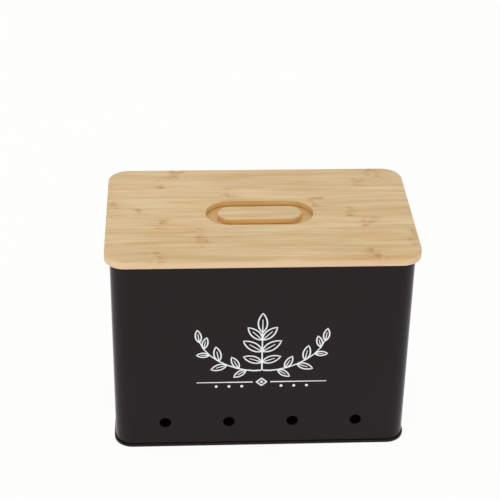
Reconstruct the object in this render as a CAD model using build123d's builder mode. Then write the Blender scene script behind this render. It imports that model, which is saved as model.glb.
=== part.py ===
"""Potato storage bin: a steel canister of two wrapped wall halves and a seamed base, with a bamboo lid.

The wall is two U-shaped sheets. They hook into each other in a grooved lock seam down the middle of
each side, their top edge is rolled inward, and their bottom edge is hooked into the base in a double
seam. The lid is a board of glued strips over a smaller board that drops inside the rolled rim. The
grip is a racetrack groove routed into the upper board, which leaves a bar to hold in its middle.

X runs along the front, +Y runs to the rear and +Z is up. The origin is in the middle of the footprint
on the surface that the bin stands on.
"""

import math
import os

from build123d import *

# --- Driving dimensions, in millimetres and degrees -----------------------------------------------

# Bin, measured over the outer face of its wall
bin_width = 300.0
bin_depth = 175.0
bin_height = 219.0
corner_radius = 18.0

# Sheet steel and the air between two folded layers of it
sheet = 0.45
fold_gap = 0.05

# Rolled rim at the top of the wall: a half-round turn inward, with its edge turned down behind it
rim_roll_radius = 1.6
rim_leaf = 1.4

# Double seam round the base, pressed flat, and the panel that it carries
base_seam_height = 3.2
base_seam_edge = 0.35
base_panel_level = 3.4
base_panel_bend = 1.0
stiffener_inset = 12.0
stiffener_slope = 2.0
stiffener_rise = 0.9

# Lock seam in the middle of each side
hook_reach = 5.0
joggle_angle = 70.0
butt_gap = 0.1
seam_end_gap = 0.6
notch_gap = 0.3

# Round vent holes near the floor of the bin
vent_diameter = 12.0
vent_height = 30.0
front_vents = 4
front_vent_pitch = 65.5
side_vent_pitch = 69.0
punch_depth = 6.0

# Upper board of the lid
lid_overhang = 5.0
lid_thickness = 9.0
lid_corner_radius = 21.0
lid_edge_round = 1.8
lid_under_edge = 0.8
lid_rest_gap = 0.3
lid_strips = 9

# Grip: a groove of constant width, routed into the board round a bar with half-round ends
grip_bar_length = 85.0
grip_bar_width = 25.0
grip_groove = 12.0
grip_depth = 6.5
grip_edge = 0.7

# Locating board under the lid
plug_clearance = 1.5
plug_thickness = 6.0
plug_edge = 1.2
plug_strips = 8

# --- Sizes that follow from them ------------------------------------------------------------------

# Layers of a folded seam lie one pitch apart. A fold over one layer turns on a radius of one pitch.
fold_pitch = sheet + fold_gap
over_fold = 2 * fold_pitch
rim_turn_radius = rim_roll_radius - sheet / 2

# In a section of the wall, the first coordinate is the distance outside the wall's outer face.
wall_layer = -sheet / 2
chuck_layer = wall_layer - fold_pitch
cover_hook_layer = wall_layer + fold_pitch
body_hook_layer = wall_layer + 2 * fold_pitch
seam_skirt_layer = wall_layer + 3 * fold_pitch

# Heights of the sheet where it turns inside the double seam
foot_level = sheet / 2
body_turn_level = foot_level + fold_pitch
skirt_turn_level = base_seam_height - sheet / 2
body_hook_top = skirt_turn_level - sheet / 2 - fold_gap
cover_hook_bottom = body_turn_level + sheet / 2 + fold_gap

# In plan, the lock seam has four layers, counted from the outer face of the side wall inward.
first_layer = bin_width / 2 - sheet / 2
second_layer = first_layer - fold_pitch
fourth_layer = first_layer - 3 * fold_pitch

# The rear sheet steps inward past the front sheet's fold, round the same centre as that fold.
joggle_sine = math.sin(math.radians(joggle_angle))
joggle_cosine = math.cos(math.radians(joggle_angle))
joggle_radius = 1.2 * fold_pitch
joggle_slope = (3 * fold_pitch - (over_fold + joggle_radius) * (1 - joggle_cosine)) / joggle_sine
joggle_run = (over_fold + joggle_radius) * joggle_sine + joggle_slope * joggle_cosine

# The lock seam stops short of the rolled rim above it and of the base below it.
lock_seam_bottom = max(base_seam_height, base_panel_level + sheet / 2) + seam_end_gap
lock_seam_top = bin_height - 2 * rim_roll_radius - seam_end_gap

# The base is pressed up by one step inside its rim.
pressed_level = base_panel_level + stiffener_rise
pressed_width = bin_width - 2 * stiffener_inset
pressed_depth = bin_depth - 2 * stiffener_inset

# The lid lies just clear of the rolled rim, and its locating board goes inside that rim.
lid_width = bin_width + 2 * lid_overhang
lid_depth = bin_depth + 2 * lid_overhang
lid_bottom = bin_height + lid_rest_gap
lid_top = lid_bottom + lid_thickness
plug_inset = 2 * rim_roll_radius + plug_clearance
plug_width = bin_width - 2 * plug_inset
plug_depth = bin_depth - 2 * plug_inset
plug_corner_radius = corner_radius - plug_inset
grip_length = grip_bar_length + 2 * grip_groove
grip_width = grip_bar_width + 2 * grip_groove


# --- Shared outlines ------------------------------------------------------------------------------


def half_outline(end_gap):
    """Outer face of the wall in plan, from the left side round the front to the right side."""
    side = bin_width / 2
    front = -bin_depth / 2
    with BuildLine() as outline:
        left = Line((-side, -end_gap), (-side, front + corner_radius))
        left_corner = JernArc(left @ 1, left % 1, corner_radius, 90)
        face = Line(left_corner @ 1, (side - corner_radius, front))
        right_corner = JernArc(face @ 1, face % 1, corner_radius, 90)
        Line(right_corner @ 1, (side, -end_gap))
    return outline.line


def section_plane(end_gap):
    """Upright plane across the start of the outline: outward first, then up."""
    return Plane(origin=(-bin_width / 2, -end_gap, 0), x_dir=(-1, 0, 0), z_dir=(0, 1, 0))


# --- Walls ----------------------------------------------------------------------------------------

# Half a wall: one sheet from the hook inside the base seam up to the roll of the rim, swept along the
# outline, with its share of the vent holes. The rear half is the same half turned about.
with BuildPart() as half_wall:
    with BuildSketch(section_plane(butt_gap / 2)):
        with BuildLine():
            hook = Polyline(
                (body_hook_layer, body_hook_top),
                (body_hook_layer, body_turn_level),
                (wall_layer, body_turn_level),
                (wall_layer, bin_height - rim_roll_radius),
            )
            rim_turn = JernArc(hook @ 1, hook % 1, rim_turn_radius, 180)
            Line(rim_turn @ 1, rim_turn @ 1 - (0, rim_leaf))
        trace(line_width=sheet)
    sweep(path=half_outline(butt_gap / 2))
    front_face = Plane(origin=(0, -bin_depth / 2, vent_height), x_dir=(1, 0, 0), z_dir=(0, -1, 0))
    with BuildSketch(front_face):
        with GridLocations(front_vent_pitch, 1, front_vents, 1):
            Circle(vent_diameter / 2)
    extrude(amount=-punch_depth, mode=Mode.SUBTRACT)
    with BuildSketch(Plane.YZ.offset(-bin_width / 2 - punch_depth)):
        with Locations((-side_vent_pitch / 2, vent_height)):
            Circle(vent_diameter / 2)
    extrude(amount=bin_width + 2 * punch_depth, mode=Mode.SUBTRACT)

# The front sheet runs past the middle of each side as the outermost layer, then folds back inside.
with BuildPart() as front_shell:
    add(half_wall.part)
    with BuildSketch(Plane.XY.offset(lock_seam_bottom)):
        with BuildLine():
            outer_layer = Line((first_layer, -hook_reach), (first_layer, hook_reach))
            fold = JernArc(outer_layer @ 1, outer_layer % 1, fold_pitch, 180)
            Line(fold @ 1, (first_layer - over_fold, fold_gap - hook_reach))
        trace(line_width=sheet)
        mirror(about=Plane.YZ)
    extrude(amount=lock_seam_top - lock_seam_bottom)

# The rear sheet steps inward by three layers, runs behind the front sheet's hook and folds back
# outward into it. Its rim and its base hook stay in line with those of the front sheet.
with BuildPart() as rear_shell:
    mirror(half_wall.part, about=Plane.XZ)
    with BuildSketch(Plane.XY.offset(lock_seam_bottom - notch_gap)):
        with Locations((bin_width / 2, 0), (-bin_width / 2, 0)):
            Rectangle(2 * punch_depth, 2 * (hook_reach + joggle_run))
    extrude(amount=lock_seam_top - lock_seam_bottom + 2 * notch_gap, mode=Mode.SUBTRACT)
    with BuildSketch(Plane.XY.offset(lock_seam_bottom)):
        with BuildLine():
            leaf = Line((second_layer, hook_reach - fold_gap), (second_layer, -hook_reach))
            leaf_fold = JernArc(leaf @ 1, leaf % 1, fold_pitch, -180)
            inner_layer = Line(leaf_fold @ 1, (fourth_layer, hook_reach))
            step_out = JernArc(inner_layer @ 1, inner_layer % 1, over_fold, -joggle_angle)
            slope = Line(step_out @ 1, step_out @ 1 + step_out % 1 * joggle_slope)
            step_back = JernArc(slope @ 1, slope % 1, joggle_radius, joggle_angle)
            Line(step_back @ 1, step_back @ 1 + (0, hook_reach))
        trace(line_width=sheet)
        mirror(about=Plane.YZ)
    extrude(amount=lock_seam_top - lock_seam_bottom)

# --- Base -----------------------------------------------------------------------------------------

# The rim of the base runs down inside the wall, under it and up outside it, and turns back down
# between the wall and the wall's hook.
with BuildPart() as base_panel:
    with BuildSketch(section_plane(0)):
        with BuildLine():
            Polyline(
                (-stiffener_inset, pressed_level),
                (-stiffener_inset + stiffener_slope, base_panel_level),
                (chuck_layer - base_panel_bend, base_panel_level),
                (chuck_layer, base_panel_level - base_panel_bend),
                (chuck_layer, foot_level),
                (seam_skirt_layer, foot_level),
                (seam_skirt_layer, skirt_turn_level),
                (cover_hook_layer, skirt_turn_level),
                (cover_hook_layer, cover_hook_bottom),
            )
        rim_section = trace(line_width=sheet)
        chamfer(rim_section.vertices().sort_by(Axis.X)[-2:], base_seam_edge)
    sweep(path=half_outline(0))
    mirror(about=Plane.XZ)
    with BuildSketch(Plane.XY.offset(pressed_level - sheet / 2)):
        RectangleRounded(pressed_width, pressed_depth, corner_radius - stiffener_inset)
    extrude(amount=sheet)

# --- Lid ------------------------------------------------------------------------------------------

# The upper board is shaped after its strips are glued up, so each strip takes its share of it.
with BuildPart() as lid_board:
    with BuildSketch(Plane.XY.offset(lid_bottom)):
        RectangleRounded(lid_width, lid_depth, lid_corner_radius)
    extrude(amount=lid_thickness)
    with BuildSketch(Plane.XY.offset(lid_top)):
        SlotOverall(grip_length, grip_width)
        SlotOverall(grip_bar_length, grip_bar_width, mode=Mode.SUBTRACT)
    extrude(amount=-grip_depth, mode=Mode.SUBTRACT)
    under_face = lid_board.faces().sort_by(Axis.Z)[0]
    bar_face, board_face = lid_board.faces().group_by(Axis.Z)[-1].sort_by(SortBy.AREA)
    under_edges = under_face.edges()
    top_edges = board_face.outer_wire().edges()
    grip_edges = board_face.inner_wires()[0].edges() + bar_face.edges()
    chamfer(under_edges, lid_under_edge)
    fillet(top_edges, lid_edge_round)
    chamfer(grip_edges, grip_edge)

# The locating board is glued up from strips too, with its joints between those of the upper board.
with BuildPart() as plug_board:
    with BuildSketch(Plane.XY.offset(lid_bottom - plug_thickness)):
        RectangleRounded(plug_width, plug_depth, plug_corner_radius)
    extrude(amount=plug_thickness)
    chamfer(plug_board.faces().sort_by(Axis.Z)[0].edges(), plug_edge)


def strips_of(board, depth, count):
    """The board's strips from front to rear, each cut out of it between two glue joints."""
    strips = []
    for number in range(count):
        front_joint = depth * (number / count - 0.5)
        rear_joint = depth * ((number + 1) / count - 0.5)
        with BuildPart() as strip:
            add(board)
            split(bisect_by=Plane.XZ.offset(-front_joint), keep=Keep.BOTTOM)
            split(bisect_by=Plane.XZ.offset(-rear_joint), keep=Keep.TOP)
        strips.append(strip.part)
    return strips


# --- Finished pieces ------------------------------------------------------------------------------

pieces = {
    "front_shell": front_shell.part,
    "rear_shell": rear_shell.part,
    "base_panel": base_panel.part,
}
for number, strip in enumerate(strips_of(lid_board.part, lid_depth, lid_strips), start=1):
    pieces[f"lid_strip_{number}"] = strip
for number, strip in enumerate(strips_of(plug_board.part, plug_depth, plug_strips), start=1):
    pieces[f"plug_strip_{number}"] = strip

os.makedirs("parts", exist_ok=True)
for name, piece in pieces.items():
    piece.label = name
    export_step(piece, f"parts/{name}.step")
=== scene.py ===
"""A potato storage bin: an enamelled sheet steel box with breathing holes and a bamboo lid."""

import math

import bpy
from mathutils import Matrix, Vector


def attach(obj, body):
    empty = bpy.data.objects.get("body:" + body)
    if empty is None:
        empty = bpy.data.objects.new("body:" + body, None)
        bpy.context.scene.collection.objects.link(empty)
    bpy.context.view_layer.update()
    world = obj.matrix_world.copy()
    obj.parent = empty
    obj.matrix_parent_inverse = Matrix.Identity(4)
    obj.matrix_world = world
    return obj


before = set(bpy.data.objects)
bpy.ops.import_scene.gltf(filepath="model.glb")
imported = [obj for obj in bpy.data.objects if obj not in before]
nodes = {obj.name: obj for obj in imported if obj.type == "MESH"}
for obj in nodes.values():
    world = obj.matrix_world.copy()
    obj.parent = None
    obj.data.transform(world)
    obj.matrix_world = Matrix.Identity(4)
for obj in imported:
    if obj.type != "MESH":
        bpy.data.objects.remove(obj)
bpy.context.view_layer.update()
bpy.ops.object.select_all(action="DESELECT")


# ---- Camera ----
# A short telephoto lens, standing a little left of the bin and looking down on
# its lid, so that the front wall and the top of the lid both show.
yaw, pitch, roll = 0.0593, 0.5456, 0.0184
focal_pixels, picture_pixels, sensor_width = 1471.27, 500, 36

bpy.ops.object.camera_add(location=(-0.08571, -1.29242, 0.96959))
camera = bpy.context.object
camera.rotation_euler = (
    Matrix.Rotation(-yaw, 3, "Z")
    @ Matrix.Rotation(math.pi / 2 - pitch, 3, "X")
    @ Matrix.Rotation(roll, 3, "Z")
).to_euler()
camera.data.sensor_width = sensor_width
camera.data.lens = focal_pixels / picture_pixels * sensor_width
camera.data.clip_start = 0.01
bpy.context.scene.camera = camera


# ---- Steel shell and base ----
# Two half walls of thin sheet steel, hooked together in a flat seam down each
# side, and a base panel rolled on round their lower edge. The whole box is then
# sprayed and stoved in a gloss enamel, almost black with a little brown in it.
class Wire:
    """An output of a material's nodes. Sums written with it add Math nodes."""

    def __init__(self, tree, socket=None):
        self.tree, self.socket = tree, socket

    def node(self, kind, settings=(), values=(), out=0):
        """Adds any node: its settings first, then the values or wires of its sockets."""
        made = self.tree.nodes.new("ShaderNode" + kind)
        for name, value in dict(settings).items():
            if name == "stops":
                ramp = made.color_ramp
                while len(ramp.elements) < len(value):
                    ramp.elements.new(1)
                for stop, (position, colour) in zip(ramp.elements, value):
                    stop.position, stop.color = position, (*colour, 1)
            elif name == "interpolation":
                made.color_ramp.interpolation = value
            else:
                setattr(made, name, value)
        shown = [socket for socket in made.inputs if socket.enabled]
        if not isinstance(values, dict):
            values = dict(enumerate(values))
        for key, value in values.items():
            if isinstance(key, int):
                socket = shown[key]
            else:
                socket = next(each for each in shown if each.name == key)
            if isinstance(value, Wire):
                self.tree.links.new(value.socket, socket)
            elif isinstance(value, (tuple, list)) and socket.type == "RGBA":
                socket.default_value = (*value, 1)
            else:
                socket.default_value = value
        given = [socket for socket in made.outputs if socket.enabled]
        found = given[out] if isinstance(out, int) else next(s for s in given if s.name == out)
        return Wire(self.tree, found)

    def maths(self, operation, *values):
        return self.node("Math", {"operation": operation}, values)

    def __add__(self, other):
        return self.maths("ADD", self, other)

    def __radd__(self, other):
        return self.maths("ADD", other, self)

    def __sub__(self, other):
        return self.maths("SUBTRACT", self, other)

    def __rsub__(self, other):
        return self.maths("SUBTRACT", other, self)

    def __mul__(self, other):
        return self.maths("MULTIPLY", self, other)

    def __rmul__(self, other):
        return self.maths("MULTIPLY", other, self)

    def __truediv__(self, other):
        return self.maths("DIVIDE", self, other)

    def __abs__(self):
        return self.maths("ABSOLUTE", self)


def finish_of(name, **constant):
    """A new material with its plain values on the shader, and a wire to start its nodes from."""
    made = bpy.data.materials.new(name)
    made.use_nodes = True
    shader = made.node_tree.nodes["Principled BSDF"]
    for label, value in constant.items():
        shader.inputs[label.replace("_", " ")].default_value = value
    return made, shader, Wire(made.node_tree)


def drive(shader, label, wire):
    """Lets a wire set one of the shader's values."""
    wire.tree.links.new(wire.socket, shader.inputs[label])


def in_millimetres(start):
    """The point on the piece, in millimetres of the bin's own frame."""
    place = start.node("TexCoord", out="Object")
    return start.node("VectorMath", {"operation": "SCALE"}, {"Vector": place, "Scale": 1000.0})


def coat(names, material):
    """Gives each of the named pieces the material all over."""
    for name in names:
        for holder in nodes[name].material_slots:
            holder.material = material


enamel_black, enamel_brown = (0.0092, 0.0052, 0.0040), (0.0122, 0.0076, 0.0058)

enamel, shader, start = finish_of("enamel", Specular_IOR_Level=0.205, IOR=1.5)
point = in_millimetres(start)
mottle = start.node("TexNoise", {}, {"Vector": point, "Scale": 0.012, "Detail": 2.0})
tone = start.node(
    "Mix", {"data_type": "RGBA"}, {"Factor": mottle, "A": enamel_black, "B": enamel_brown}
)
drive(shader, "Base Color", tone)
smears = start.node("TexNoise", {}, {"Vector": point, "Scale": 0.05, "Detail": 3.0})
drive(shader, "Roughness", 0.07 + 0.05 * smears)
peel = start.node("TexNoise", {}, {"Vector": point, "Scale": 0.45, "Detail": 1.0})
relief = start.node("Bump", {}, {"Strength": 0.35, "Distance": 0.00002, "Height": peel})
drive(shader, "Normal", relief)
coat(("front_shell", "rear_shell", "base_panel"), enamel)


# ---- Printed sprigs ----
# White ink, screen printed on the enamel of the front wall in one pass: an upright
# sprig between two trailing ones, over a thin rule. Each line is a ribbon of ink
# that stands a few hundredths of a millimetre proud of the wall.
print_middle = 0.1185
front_face = nodes["front_shell"].ray_cast((0, -1, print_middle), (0, 1, 0))[1].y
line_half_width = 0.00080
ink_height = 0.00006
thin_ink, thick_ink = (0.90, 0.91, 0.93), (0.96, 0.97, 0.98)

bpy.ops.curve.primitive_bezier_curve_add(location=(0, 0, 0))
sprigs = bpy.context.object
sprigs.name = "printed_sprigs"
drawing = sprigs.data
drawing.splines.clear()
drawing.dimensions = "3D"
drawing.bevel_depth = line_half_width
drawing.bevel_resolution = 2
drawing.use_fill_caps = True
drawing.resolution_u = drawing.render_resolution_u = 8


def stroke(knots, closed=False):
    """One pen line through knots, in millimetres from the middle of the print.

    A knot is its point, the handles before and after it, and its weight of line.
    """
    line = drawing.splines.new("BEZIER")
    line.bezier_points.add(len(knots) - 1)
    line.use_cyclic_u = closed
    for bend, (spot, before, after, weight) in zip(line.bezier_points, knots):
        bend.handle_left_type = bend.handle_right_type = "FREE"
        for label, (across, up) in (("co", spot), ("handle_left", before), ("handle_right", after)):
            setattr(bend, label, (across / 1000, front_face, print_middle + up / 1000))
        bend.radius = weight


leaf_plumpness = 0.30


def leaf(base, turn, length):
    """A pointed leaf and its midrib, growing from base, turned so many degrees from upright."""
    along = Vector((math.sin(math.radians(turn)), math.cos(math.radians(turn)))) * length
    side = leaf_plumpness * Vector((along.y, -along.x))
    base = Vector(base)
    tip = base + along
    belly, neck = base + 0.30 * along, base + 0.72 * along
    stroke(
        [
            (base, belly - side, belly + side, 0.95),
            (tip, neck + 0.75 * side, neck - 0.75 * side, 0.9),
        ],
        closed=True,
    )
    foot, end = base + 0.04 * along, base + 0.68 * along
    stroke([(foot, foot, foot.lerp(end, 0.4), 0.8), (end, foot.lerp(end, 0.6), end, 0.5)])


def dot(across, up, radius=0.75):
    """A ring of ink, drawn so tight that it fills in."""
    reach = 0.55 * radius
    left, right, low, high = across - radius, across + radius, up - radius, up + radius
    stroke(
        [
            ((right, up), (right, up - reach), (right, up + reach), 1),
            ((across, high), (across + reach, high), (across - reach, high), 1),
            ((left, up), (left, up + reach), (left, up - reach), 1),
            ((across, low), (across - reach, low), (across + reach, low), 1),
        ],
        closed=True,
    )


# The upright sprig: its stem, the leaf at its tip, and a pair of leaves at each
# height, with their turn and length.
stroke([((0, -24), (0, -24), (0, -10), 1.1), ((0, 24), (0, 12), (0, 24), 0.8)])
leaf((0, 22), 0, 23)
for height, turn, length in ((13, 44, 21), (-1, 56, 23), (-14, 70, 20)):
    leaf((0, height), turn, length)
    leaf((0, height), -turn, length)

# A trailing sprig on each hand: one bent stem, an end leaf, and leaves by turns
# above and below it, each at its share of the stem and with its length.
trail = [Vector(knot) for knot in ((1, -24), (18, -27), (55, -14), (63, 12))]
trail_leaves = (
    (0.24, 1, 15),
    (0.34, -1, 16),
    (0.50, 1, 17),
    (0.61, -1, 18),
    (0.76, 1, 13),
    (0.88, -1, 14),
)
leaf_spread = 46
for hand in (-1, 1):
    foot, low_bend, high_bend, end = (Vector((hand * knot.x, knot.y)) for knot in trail)
    stroke([(foot, foot, low_bend, 1.1), (end, high_bend, end, 0.7)])
    for share, sense, length in trail_leaves:
        # The point of the stem at that share of its Bezier curve, and the way it runs there.
        rest = 1 - share
        weights = (rest**3, 3 * rest**2 * share, 3 * rest * share**2, share**3)
        slopes = (rest**2, 2 * rest * share, share**2)
        spot = sum((w * knot for w, knot in zip(weights, trail)), Vector((0, 0)))
        run = sum((w * (b - a) for w, a, b in zip(slopes, trail, trail[1:])), Vector((0, 0)))
        heading = math.degrees(math.atan2(run.x, run.y)) + leaf_spread * sense
        leaf((hand * spot.x, spot.y), hand * heading, length)
    leaf((hand * 63, 11), hand * 8, 15)

# The rule under them, broken by a diamond, with three dots below each half.
rule, dots_level = -38.5, -43.6
for hand in (-1, 1):
    near, far = Vector((hand * 9, rule)), Vector((hand * 66, rule))
    stroke([(near, near, near.lerp(far, 1 / 3), 0.9), (far, near.lerp(far, 2 / 3), far, 0.6)])
    for across in (20, 33, 46):
        dot(hand * across, dots_level)
diamond = ((5.2, rule), (0, rule + 4.5), (-5.2, rule), (0, rule - 4.5))
stroke([(corner, corner, corner, 1) for corner in diamond], closed=True)
dot(0, rule)

# Pressed flat on to the wall, so that the round pen lines become ribbons.
bpy.ops.object.convert(target="MESH")
bpy.ops.object.mode_set(mode="EDIT")
bpy.ops.mesh.select_all(action="SELECT")
bpy.ops.transform.resize(
    value=(1, ink_height / line_half_width, 1), center_override=(0, front_face, 0)
)
bpy.ops.object.mode_set(mode="OBJECT")
bpy.ops.object.shade_smooth()
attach(sprigs, "bin")

ink, shader, start = finish_of("print_ink", Specular_IOR_Level=0.35)
cover = start.node("TexNoise", {}, {"Vector": in_millimetres(start), "Scale": 0.9, "Detail": 3.0})
tint = start.node("Mix", {"data_type": "RGBA"}, {"Factor": cover, "A": thin_ink, "B": thick_ink})
drive(shader, "Base Color", tint)
drive(shader, "Roughness", 0.32 + 0.16 * cover)
sprigs.data.materials.clear()
sprigs.data.materials.append(ink)


# ---- Bamboo lid ----
# Nine flat strips of bamboo glued edge to edge, sanded, with the long edges
# rounded over, and sealed with a thin satin oil. Each strip keeps its own tone
# and the soft brown marks where the cane had its knuckles.
lid_length, lid_depth, lid_strips = 310, 185, 9
lid_underside, groove_floor, lid_top = 219.3, 221.8, 228.3
clear_of_grip = (60, 30)
knuckle_pitch = 210
rosy, honey, dark_line = (1.0, 0.96, 0.94), (0.97, 0.87, 0.68), (0.86, 0.79, 0.66)
knuckle_brown, glue_brown, vessel_brown = (0.52, 0.27, 0.08), (0.38, 0.22, 0.10), (0.45, 0.27, 0.11)
# The last three are painted light and shade: a pale cream that lightens the side faces, a darker
# honey that shades the groove, and a brown for the shade where its walls meet its floor.
edge_light_cream, groove_shade_honey, groove_corner_shade = (0.92, 0.68, 0.46), (0.98, 0.90, 0.70), (0.62, 0.42, 0.22)


def bamboo_board(name, board_front, strip_depth, knuckles, light, dark, routed=False):
    """Bamboo laid along X, in strips from board_front to the rear.

    knuckles says where, in millimetres from the middle, each strip has a first knuckle.
    """
    made, shader, start = finish_of(name, Specular_IOR_Level=0.35)
    point = in_millimetres(start)
    x, y, z = (start.node("SeparateXYZ", {}, {"Vector": point}, out=axis) for axis in "XYZ")
    across = (y - board_front) / strip_depth
    strip = start.maths("FLOOR", across)
    chance = start.node(
        "TexWhiteNoise", {"noise_dimensions": "1D"}, {"W": strip + 0.37}, out="Color"
    )
    one, two, three = (
        start.node("SeparateColor", {}, {"Color": chance}, out=channel)
        for channel in ("Red", "Green", "Blue")
    )

    def mix(kind, share, under, over):
        return start.node(
            "Mix",
            {"data_type": "RGBA", "blend_type": kind},
            {"Factor": share, "A": under, "B": over},
        )

    def between(value, low, high):
        """Nought up to low and one from high on, eased."""
        return start.node(
            "MapRange",
            {"interpolation_type": "SMOOTHSTEP"},
            {"Value": value, "From Min": low, "From Max": high},
        )

    def soft_noise(scale):
        return start.node("TexNoise", {}, {"Vector": point, "Scale": scale, "Detail": 1.0})

    def grain(along, over, detail, seed):
        """Noise drawn out along the cane, starting somewhere else in every strip."""
        laid = start.node(
            "CombineXYZ",
            {},
            {
                "X": (x + 900 * one + seed) * along,
                "Y": (y + 7 * drift + 70 * two) * over,
                "Z": (z + 40 * three) * over,
            },
        )
        return start.node(
            "TexNoise", {}, {"Vector": laid, "Scale": 1.0, "Detail": detail, "Roughness": 0.6}
        )

    drift = soft_noise(0.010)
    broad = grain(along=0.008, over=0.12, detail=2.0, seed=0)
    streaks = grain(along=0.014, over=0.42, detail=3.0, seed=50)
    fibres = grain(along=0.022, over=1.6, detail=3.0, seed=90)

    # A knuckle: a brown band across the strip, a little bent and broken up by the
    # fibres that run through it.
    first = start.node(
        "ValToRGB",
        {
            "interpolation": "CONSTANT",
            "stops": [
                (number / len(knuckles), (0.5 + place / lid_length,) * 3)
                for number, place in enumerate(knuckles)
            ],
        },
        [(strip + 0.5) / len(knuckles)],
    )
    offset = start.maths(
        "WRAP", x - lid_length * (first - 0.5), -knuckle_pitch / 2, knuckle_pitch / 2
    )
    bent = offset + 30 * (soft_noise(0.06) - 0.5)
    patch = start.node(
        "TexNoise",
        {"noise_dimensions": "4D"},
        {"Vector": point, "W": 1.7, "Scale": 0.10, "Detail": 1.0},
    )
    core = start.maths("EXPONENT", -1 * (bent / 3.0) * (bent / 3.0))
    halo = start.maths("EXPONENT", -1 * (bent / 7.0) * (bent / 7.0))
    flecks = between(streaks, 0.58, 0.42)
    knuckle = between(patch, 0.38, 0.58) * (0.22 * core + 0.60 * halo) * (0.25 + flecks)

    # The cane's own tone. Here and there a vein of honey colour runs along it, and the
    # front strip darkens along its outer side, which lay next to the rind.
    shade = start.maths("MULTIPLY_ADD", broad, 2.0, -0.6) + 0.30 * (one - 0.5)
    blush = between(soft_noise(0.018), 0.40, 0.62)
    rind = between(y, board_front + 9.0, board_front + 5.5) * between(x + 40 * drift, 40, 100)
    vein = between(grain(along=0.011, over=0.17, detail=2.0, seed=40), 0.54, 0.70)
    tone = mix("MULTIPLY", blush, mix("MIX", shade, light, dark), rosy)
    tone = mix("MULTIPLY", start.maths("MAXIMUM", vein, 0.65 * rind), tone, honey)
    lines = start.node(
        "ValToRGB",
        {"stops": [(0.32, dark_line), (0.56, (1.0, 1.0, 1.0))]},
        [0.55 * streaks + 0.45 * fibres],
    )
    tone = mix("MIX", knuckle, mix("MULTIPLY", 1.0, tone, lines), knuckle_brown)
    glue_line = start.maths("LESS_THAN", start.maths("PINGPONG", across, 0.5), 0.006)
    tone = mix("MIX", 0.25 * glue_line, tone, glue_brown)

    if routed:
        # Painted light and shade: the side faces are painted paler, to read brighter than the
        # top as under a front light, and the groove is painted a darker honey as painted
        # shade, with a darker painted shade line where its walls meet its floor.
        beyond_grip = start.maths("MAXIMUM", abs(x) - clear_of_grip[0], abs(y) - clear_of_grip[1])
        outside = start.maths("GREATER_THAN", beyond_grip, 0.0)
        side = between(z, lid_top - 1.2, lid_top - 1.8)
        cut = between(z, lid_top - 0.1, lid_top - 0.9) * (1 - outside)
        # A band of painted shade on the groove's walls, just above its floor.
        corner_shade_band = between(z, groove_floor + 1.0, groove_floor + 0.2)
        off_floor = between(z, groove_floor, groove_floor + 0.03)
        # Painted light: the side faces come out paler than the top.
        painted_edge_light = side * outside * (0.92 - 0.75 * streaks)
        tone = mix("MIX", painted_edge_light, tone, edge_light_cream)
        # Painted shade: the groove darker, and darker still just above its floor.
        tone = mix("MULTIPLY", cut, tone, groove_shade_honey)
        tone = mix("MULTIPLY", cut * corner_shade_band * off_floor, tone, groove_corner_shade)
        # The ends of the cane's vessels show as dots on the two short sides, thickest
        # towards what was the outside of the cane.
        section = start.node("CombineXYZ", {}, {"X": 0.0, "Y": y, "Z": z})
        vessels = start.node("TexVoronoi", {}, {"Vector": section, "Scale": 1.25}, out="Distance")
        dots = start.maths("LESS_THAN", vessels, 0.06 + 0.035 * (z - lid_underside))
        ends = side * between(abs(x), lid_length / 2 - 7, lid_length / 2 - 1)
        tone = mix("MIX", 0.55 * ends * dots, tone, vessel_brown)

    drive(shader, "Base Color", tone)
    drive(shader, "Roughness", 0.40 + 0.16 * streaks)
    pores = 0.6 * streaks + 0.4 * fibres
    relief = start.node("Bump", {}, {"Strength": 0.3, "Distance": 0.0001, "Height": pores})
    drive(shader, "Normal", relief)
    return made


bamboo = bamboo_board(
    "bamboo",
    board_front=-lid_depth / 2,
    strip_depth=lid_depth / lid_strips,
    knuckles=(107, -60, 147, -100, -120, 60, -30, 110, -85),
    light=(0.815, 0.625, 0.360),
    dark=(0.655, 0.455, 0.218),
    routed=True,
)
coat((f"lid_strip_{number + 1}" for number in range(lid_strips)), bamboo)


# ---- Locating board ----
# A thinner board of eight strips, glued under the lid, that drops inside the
# rolled rim and keeps the lid from sliding. Same bamboo, left a shade paler.
plug_depth, plug_strips = 165.6, 8

bamboo_under = bamboo_board(
    "bamboo_plug",
    board_front=-plug_depth / 2,
    strip_depth=plug_depth / plug_strips,
    knuckles=(30, -90, 120, -20, 75, -140, 10, 95),
    light=(0.820, 0.630, 0.370),
    dark=(0.670, 0.470, 0.232),
)
coat((f"plug_strip_{number + 1}" for number in range(plug_strips)), bamboo_under)


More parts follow.
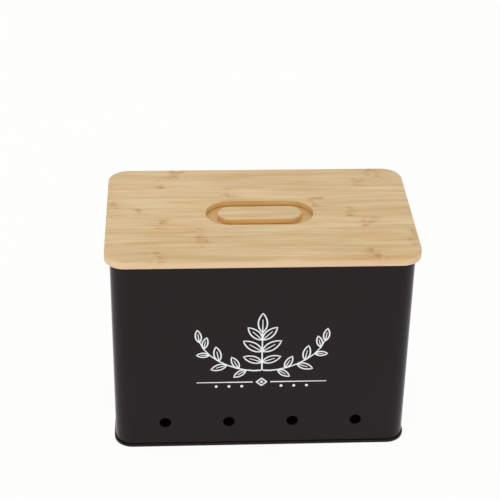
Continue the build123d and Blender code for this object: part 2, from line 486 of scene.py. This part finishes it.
# ---- Floor, backdrop and light ----
# A plain white floor that keeps a faint shadow, an even white surround, and two
# large soft boxes, one overhead and one in front. Polished surfaces see the floor
# and the surround a touch cooler than the eye does.
def rays_into(start):
    """Whether a ray comes from the camera or through glass, and whether it is a reflection."""
    camera_ray, glass_ray, reflection = (
        start.node("LightPath", out=f"Is {kind} Ray")
        for kind in ("Camera", "Transmission", "Glossy")
    )
    return camera_ray + glass_ray, reflection


warm_white = (1.0, 1.0, 0.985)
cool_floor, cool_surround = (0.90, 0.89, 1.0), (0.90, 0.93, 1.0)

bpy.ops.mesh.primitive_plane_add(size=12, location=(0, 0, 0))
floor = bpy.context.object
floor.name = "floor"
paper = bpy.data.materials.new("paper")
paper.use_nodes = True
start = Wire(paper.node_tree)
paper.node_tree.nodes.remove(paper.node_tree.nodes["Principled BSDF"])
direct, reflection = rays_into(start)
matt = start.node("BsdfDiffuse", {}, {"Color": (0.90, 0.90, 0.89)})
white = start.node("Emission", {}, {"Color": warm_white, "Strength": 1.0})
cool = start.node("Emission", {}, {"Color": cool_floor, "Strength": 1.0})
ground = start.node("MixShader", {}, [direct * 0.96, matt, white])
ground = start.node("MixShader", {}, [reflection * 0.85, ground, cool])
output = paper.node_tree.nodes["Material Output"]
paper.node_tree.links.new(ground.socket, output.inputs["Surface"])
floor.data.materials.append(paper)

world = bpy.data.worlds.new("surround")
bpy.context.scene.world = world
world.use_nodes = True
start = Wire(world.node_tree)
direct, reflection = rays_into(start)
plain = start.node("Background", {}, {"Color": (1.0, 1.0, 1.0), "Strength": 0.80})
mirrored = start.node("Background", {}, {"Color": cool_surround, "Strength": 1.0})
white = start.node("Background", {}, {"Color": warm_white, "Strength": 1.0})
lit = start.node("MixShader", {}, [reflection, plain, mirrored])
sky = start.node("MixShader", {}, [direct, lit, white])
world.node_tree.links.new(sky.socket, world.node_tree.nodes["World Output"].inputs["Surface"])

bin_middle = Vector((0, 0, 0.12))
for name, spot, size, power in (
    ("softbox_top", (-0.25, 0.10, 1.6), 1.2, 1.0),
    ("softbox_front", (-0.6, -2.0, 0.95), 1.4, 9.0),
):
    bpy.ops.object.light_add(type="AREA", location=spot)
    lamp = bpy.context.object
    lamp.name = name
    lamp.data.size = size
    lamp.data.energy = power
    lamp.rotation_euler = (bin_middle - Vector(spot)).to_track_quat("-Z", "Y").to_euler()

bpy.context.scene.view_settings.view_transform = "Standard"
